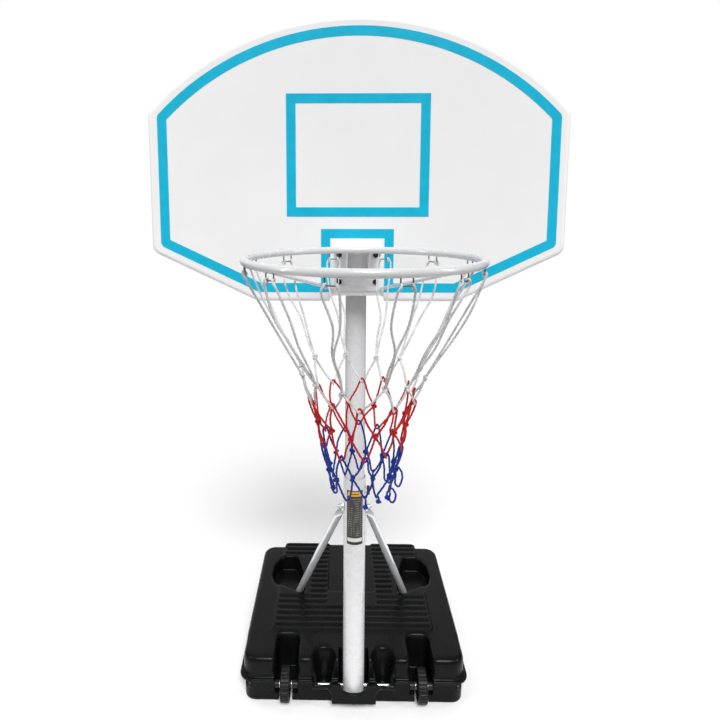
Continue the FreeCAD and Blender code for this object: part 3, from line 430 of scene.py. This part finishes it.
def skin(name, node, body, material, voxel, softness=None):
    """A CAD node's shape with every edge rounded, as moulding leaves it."""
    draft = link(name + "_draft", NODES[node].data.copy())
    work = bmesh.new()
    work.from_mesh(draft.data)
    bmesh.ops.remove_doubles(work, verts=work.verts, dist=1e-5)
    work.to_mesh(draft.data)
    work.free()
    remesh = draft.modifiers.new("remesh", "REMESH")
    remesh.mode = "VOXEL"
    remesh.voxel_size = voxel
    smooth = draft.modifiers.new("smooth", "SMOOTH")
    smooth.factor = 0.5
    smooth.iterations = SKIN_PASSES
    mesh = finished_mesh(draft)
    drop_inner_walls(mesh)
    draft.modifiers.clear()
    draft.data = mesh
    if softness:
        group = draft.vertex_groups.new(name="soft")
        for vert in mesh.vertices:
            weight = softness(vert.co)
            if weight > 0:
                group.add([vert.index], weight, "REPLACE")
        puff = draft.modifiers.new("puff", "SMOOTH")
        puff.factor = 0.5
        puff.iterations = SOFT_PASSES
        puff.vertex_group = "soft"
        mesh = finished_mesh(draft)
    bpy.data.objects.remove(draft)
    smooth_shade(mesh)
    mesh.name = name
    piece = dress(link(name, mesh), material)
    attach(piece, body)
    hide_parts(node)
    return piece


# ---------------------------------------------------------------- cords

class Rope:
    """Collects lengths of twisted cord into one mesh."""

    def __init__(self):
        self.verts = []
        self.faces = []

    def lay(self, points, closed=False):
        line = resample(points, closed)
        rings = cord_rings(line, closed)
        start = len(self.verts)
        self.verts.extend(rings.reshape(-1, 3).tolist())
        count = len(rings)
        for i in range(count if closed else count - 1):
            a = start + i * CORD_SIDES
            b = start + ((i + 1) % count) * CORD_SIDES
            for j in range(CORD_SIDES):
                k = (j + 1) % CORD_SIDES
                self.faces.append((a + j, a + k, b + k, b + j))
        if not closed:
            self.faces.append(tuple(start + j for j in reversed(range(CORD_SIDES))))
            last = start + (count - 1) * CORD_SIDES
            self.faces.append(tuple(last + j for j in range(CORD_SIDES)))

    def finish(self, name, node, material):
        piece = dress(mesh_object(name, self.verts, self.faces), material)
        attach(piece, "head")
        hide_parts(node)
        return piece


def resample(points, closed):
    """An even run of points along the Catmull-Rom curve through these points."""
    p = np.array([tuple(q) for q in points], float)
    if closed:
        p = np.vstack([p[-1], p, p[0], p[1]])
    else:
        p = np.vstack([2 * p[0] - p[1], p, 2 * p[-1] - p[-2]])
    out = []
    t = np.linspace(0, 1, 24, endpoint=False)[:, None]
    for a, b, c, d in zip(p, p[1:], p[2:], p[3:]):
        out.append(0.5 * (2 * b + (c - a) * t + (2 * a - 5 * b + 4 * c - d) * t ** 2
                          + (3 * b - a - 3 * c + d) * t ** 3))
    line = np.vstack(out + ([] if closed else [p[-2][None]]))
    if closed:
        line = np.vstack([line, line[0]])
    steps = np.linalg.norm(np.diff(line, axis=0), axis=1)
    along = np.concatenate([[0], np.cumsum(steps)])
    count = max(4, int(round(along[-1] / CORD_STEP)))
    marks = np.linspace(0, along[-1], count + 1)
    even = np.column_stack([np.interp(marks, along, line[:, k]) for k in range(3)])
    return even[:-1] if closed else even


def cord_rings(line, closed):
    """Rings of a three-strand section that turns along the line."""
    count = len(line)
    if closed:
        way = np.roll(line, -1, axis=0) - np.roll(line, 1, axis=0)
    else:
        way = np.gradient(line, axis=0)
    way /= np.linalg.norm(way, axis=1)[:, None]
    seed = np.array([0.0, 0.0, 1.0]) if abs(way[0][2]) < 0.9 else np.array([1.0, 0.0, 0.0])
    side = np.cross(way[0], seed)
    sides = []
    for w in way:
        side = side - w * side.dot(w)
        side /= np.linalg.norm(side)
        sides.append(side)
    sides = np.array(sides)
    ups = np.cross(way, sides)
    length = np.linalg.norm(np.diff(line, axis=0), axis=1).mean()
    turns = np.arange(count) * length / LAY_LENGTH
    if closed:
        turns = np.arange(count) / count * max(1, round(count * length / LAY_LENGTH))
    angles = 2 * math.pi * np.arange(CORD_SIDES) / CORD_SIDES
    lobes = CORD_R * (0.90 + 0.13 * np.cos(3 * (angles[None, :] - 2 * math.pi * turns[:, None] / 3)))
    return (line[:, None, :] + lobes[:, :, None] * (np.cos(angles)[None, :, None] * sides[:, None, :]
                                                     + np.sin(angles)[None, :, None] * ups[:, None, :]))


# ---------------------------------------------------------------- net

class Net:
    """The knotted net: where its knots hang, with the small unevenness of a hand-tied one."""

    def __init__(self):
        low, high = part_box("ring")
        self.centre = (low + high) / 2
        self.draw = random.Random(11)
        self.knots = {}
        for row, (radius, drop, turn) in NET_ROWS.items():
            for k in range(HOOKS):
                loose = 0.0 if row == "hook" else 1.0
                angle = 360.0 / HOOKS * (k + 0.5 + turn) + loose * self.draw.uniform(-5.0, 5.0)
                r = radius + loose * self.draw.uniform(-0.005, 0.005)
                fall = drop + loose * self.draw.uniform(-0.007, 0.007)
                self.knots[row, k] = (math.radians(angle), r, fall)

    def at(self, row, k, around=0.0, out=0.0, up=0.0):
        """A point by a knot, shifted round the net, outwards and up, in metres."""
        angle, r, fall = self.knots[row, k % HOOKS]
        flat = Vector((math.cos(angle), math.sin(angle), 0))
        tangent = Vector((-flat.y, flat.x, 0))
        place = Vector((self.centre.x, self.centre.y, self.centre.z - fall))
        return place + flat * (r + out) + tangent * around + Vector((0, 0, up))

    def drift(self, a, b, share, swing, bulge):
        """A point part of the way from a to b, pushed sideways and outwards."""
        place = a.lerp(b, share)
        flat = Vector((place.x - self.centre.x, place.y - self.centre.y, 0)).normalized()
        tangent = Vector((-flat.y, flat.x, 0))
        return place + tangent * swing + flat * bulge

    def knot(self, rope, place, size=KNOT_SIZE):
        """An overhand knot, pulled tight and turned its own way."""
        turn = Matrix.Rotation(self.draw.uniform(0, 6.28), 3, "Z") @ Matrix.Rotation(
            self.draw.uniform(0.6, 2.4), 3, "X") @ Matrix.Rotation(self.draw.uniform(0, 6.28), 3, "Z")
        points = []
        for i in range(14):
            t = 2 * math.pi * i / 14
            shape = Vector((math.sin(t) + 2 * math.sin(2 * t), math.cos(t) - 2 * math.cos(2 * t),
                            -1.2 * math.sin(3 * t)))
            points.append(place + turn @ shape * size)
        rope.lay(points, closed=True)


def hang_from_hooks(net, rope):
    """Each staple's two lower corners carry a leg, and both legs run slackly down to one knot."""
    for k in range(HOOKS):
        low = net.at("white", k)
        for side in (-1, 1):
            corner = side * STAPLE_HALF_W
            front = net.at("hook", k, around=corner * 1.12, out=0.0034, up=-0.001)
            back = net.at("hook", k, around=corner * 0.92, out=-0.0032, up=0.001)
            over = net.at("hook", k, around=corner, up=0.0034)
            swing = side * net.draw.uniform(-0.006, 0.012)
            bulge = net.draw.uniform(-0.002, 0.014)
            wave = net.draw.uniform(-0.007, 0.007)
            splay = side * net.draw.uniform(0.002, 0.006)
            rope.lay([net.at("hook", k, around=corner, out=-0.001, up=-0.006), back, over, front,
                      net.drift(front, low, 0.07, splay, 0.001 + bulge * 0.2),
                      net.drift(front, low, 0.34, swing + wave, bulge),
                      net.drift(front, low, 0.60, swing * 0.9 - wave, bulge),
                      net.drift(front, low, 0.82, swing * 0.4, bulge * 0.4),
                      low])
        net.knot(rope, low)


def vee(net, rope, upper, lower, k):
    """A cord from one knot down round the tie below it and up to the next knot."""
    left, right = net.at(upper, k), net.at(upper, k + 1)
    foot = [net.at(lower, k, around=-0.0042, out=TIE_OVER, up=0.001), net.at(lower, k, up=-0.0035),
            net.at(lower, k, around=0.0042, out=-TIE_OVER, up=0.001)]
    sway = net.draw.uniform(-0.003, 0.003)
    rope.lay([left, net.drift(left, foot[0], 0.5, sway, 0.002)] + foot
             + [net.drift(foot[2], right, 0.5, sway, 0.002), right])


def arch(net, rope, upper, lower, k):
    """A cord from a knot up over the tie above it and down to the next knot."""
    left, right = net.at(lower, k), net.at(lower, k + 1)
    top = [net.at(upper, k, around=-0.0048, out=-TIE_OVER, up=-0.001), net.at(upper, k, up=0.0055),
           net.at(upper, k, around=0.0048, out=TIE_OVER, up=-0.001)]
    sway = net.draw.uniform(-0.004, 0.004)
    rope.lay([left, net.drift(left, top[0], 0.5, sway, 0.002)] + top
             + [net.drift(top[2], right, 0.5, -sway, 0.002), right])


def tail(net, rope, row, k, length, lean):
    """A loose end with a stopper knot."""
    start = net.at(row, k)
    end = start + Vector((lean, net.draw.uniform(-0.004, 0.004), -length))
    middle = start.lerp(end, 0.5) + Vector((lean * 0.6, 0.003, 0))
    rope.lay([start, middle, end])
    net.knot(rope, end, KNOT_SIZE * 0.8)


def slack_loop(net, rope, row, k, width, height):
    """A loop of spare cord that stands out from the net."""
    start = net.at(row, k)
    flat = Vector((start.x - net.centre.x, start.y - net.centre.y, 0)).normalized()
    shape = [(0, 0), (0.35, 0.18), (0.85, -0.05), (1.0, -0.45), (0.6, -0.95), (0.05, -0.8)]
    points = [start + flat * width * u + Vector((0, 0, height * v)) for u, v in shape]
    rope.lay(points + [start + flat * 0.002 + Vector((0, 0, -0.006))])


def make_net(materials):
    net = Net()
    white, red, blue = Rope(), Rope(), Rope()
    hang_from_hooks(net, white)
    for k in range(HOOKS):
        vee(net, white, "white", "tie_red", k)
        arch(net, red, "tie_red", "red", k)
        net.knot(red, net.at("red", k))
        vee(net, red, "red", "tie_blue", k)
        arch(net, blue, "tie_blue", "blue", k)
        net.knot(blue, net.at("blue", k))
        vee(net, blue, "blue", "end", k)
    for k in TAILS:
        tail(net, blue, "end", k, net.draw.uniform(0.010, 0.024), net.draw.uniform(-0.004, 0.004))
    slack_loop(net, blue, "blue", 11, 0.015, 0.036)
    slack_loop(net, blue, "end", 10, 0.014, 0.026)
    white.finish("net_cord_white", "net_white", materials["cord_white"])
    red.finish("net_cord_red", "net_red", materials["cord_red"])
    blue.finish("net_cord_blue", "net_blue", materials["cord_blue"])


# ---------------------------------------------------------------- the whole object

def paint_nodes(materials):
    for part in frame["record"]["subparts"]:
        node = NODES[part["node"]]
        dress(node, materials[OWN_FINISH.get(part["node"], part["material_slot"])])


def make_stage():
    """A pale floor disc whose rim fades into the white room."""
    turns = [2 * math.pi * i / 96 for i in range(96)]
    rim = [(FLOOR_R * math.cos(a), FLOOR_R * math.sin(a), -0.0002) for a in turns]
    floor = mesh_object("floor", rim, [tuple(range(len(rim)))], smooth=False)
    s = Shader("floor", (0.93, 0.93, 0.93), 0.9, specular=0.1)
    s.colour(s.mixed(s.ranged(s.noise(1.5, 2.0), 0.0, 1.0), (0.925, 0.925, 0.925), (0.94, 0.94, 0.94)))
    away = s.add("ShaderNodeVectorMath", operation="LENGTH")
    s.join(s.place, away.inputs[0])
    alpha = s.ranged(away.outputs["Value"], 1.0, 0.0, FLOOR_FADE_START, FLOOR_FADE_END)
    s.join(alpha, s.bsdf.inputs["Alpha"])
    dress(floor, s.material)


def area_lamp(name, place, size, power):
    """A rectangular lamp that faces SOFT_BOX_AIM, a point on the lower pole."""
    light = bpy.data.lights.new(name, "AREA")
    light.shape = "RECTANGLE"
    light.size, light.size_y = size
    light.energy = power
    lamp = bpy.data.objects.new(name, light)
    bpy.context.scene.collection.objects.link(lamp)
    lamp.location = place
    lamp.rotation_euler = (Vector(SOFT_BOX_AIM) - Vector(place)).to_track_quat("-Z", "Y").to_euler()


def make_light():
    world = bpy.data.worlds.new("studio")
    bpy.context.scene.world = world
    world.use_nodes = True
    tree = world.node_tree
    tree.nodes.clear()
    seen = tree.nodes.new("ShaderNodeBackground")
    seen.inputs["Strength"].default_value = 1.0
    seen.inputs["Color"].default_value = (1, 1, 1, 1)
    lit = tree.nodes.new("ShaderNodeBackground")
    lit.inputs["Strength"].default_value = WORLD_LIGHT
    lit.inputs["Color"].default_value = (1, 1, 1, 1)
    rays = tree.nodes.new("ShaderNodeLightPath")
    mix = tree.nodes.new("ShaderNodeMixShader")
    out = tree.nodes.new("ShaderNodeOutputWorld")
    tree.links.new(rays.outputs["Is Camera Ray"], mix.inputs[0])
    tree.links.new(lit.outputs[0], mix.inputs[1])
    tree.links.new(seen.outputs[0], mix.inputs[2])
    tree.links.new(mix.outputs[0], out.inputs["Surface"])
    for name, (power, spread, turn) in SUNS.items():
        sun = bpy.data.lights.new(name, "SUN")
        sun.energy = power
        sun.angle = math.radians(spread)
        lamp = bpy.data.objects.new(name, sun)
        bpy.context.scene.collection.objects.link(lamp)
        lamp.rotation_euler = [math.radians(a) for a in turn]
    for place in SOFT_BOX_PLACES:
        area_lamp("soft_box", place, SOFT_BOX_SIZE, SOFT_BOX_POWER)


def make_camera():
    data = bpy.data.cameras.new("camera")
    data.sensor_width = CAMERA_SENSOR
    data.lens = CAMERA_LENS
    data.shift_x, data.shift_y = CAMERA_SHIFT
    ahead = Vector((math.sin(CAMERA_YAW) * math.cos(CAMERA_PITCH),
                    math.cos(CAMERA_YAW) * math.cos(CAMERA_PITCH),
                    -math.sin(CAMERA_PITCH)))
    level = Vector((math.cos(CAMERA_YAW), -math.sin(CAMERA_YAW), 0))
    above = level.cross(ahead)
    right = level * math.cos(CAMERA_ROLL) + above * math.sin(CAMERA_ROLL)
    up = above * math.cos(CAMERA_ROLL) - level * math.sin(CAMERA_ROLL)
    turn = Matrix((right, up, -ahead)).transposed().to_4x4()
    camera = bpy.data.objects.new("camera", data)
    bpy.context.scene.collection.objects.link(camera)
    camera.matrix_world = Matrix.Translation(CAMERA_PLACE) @ turn
    bpy.context.scene.camera = camera


def main():
    bpy.context.scene.view_settings.view_transform = "Standard"
    materials = make_materials()
    paint_nodes(materials)
    skin("tank_skin", "base_tank", "base", materials["black_tank"], TANK_VOXEL, block_softness)
    skin("wheel_left_skin", "wheel_left", "wheel_left", materials["wheel_plastic"], WHEEL_VOXEL)
    skin("wheel_right_skin", "wheel_right", "wheel_right", materials["wheel_plastic"], WHEEL_VOXEL)
    make_net(materials)
    make_stage()
    make_light()
    make_camera()


main()
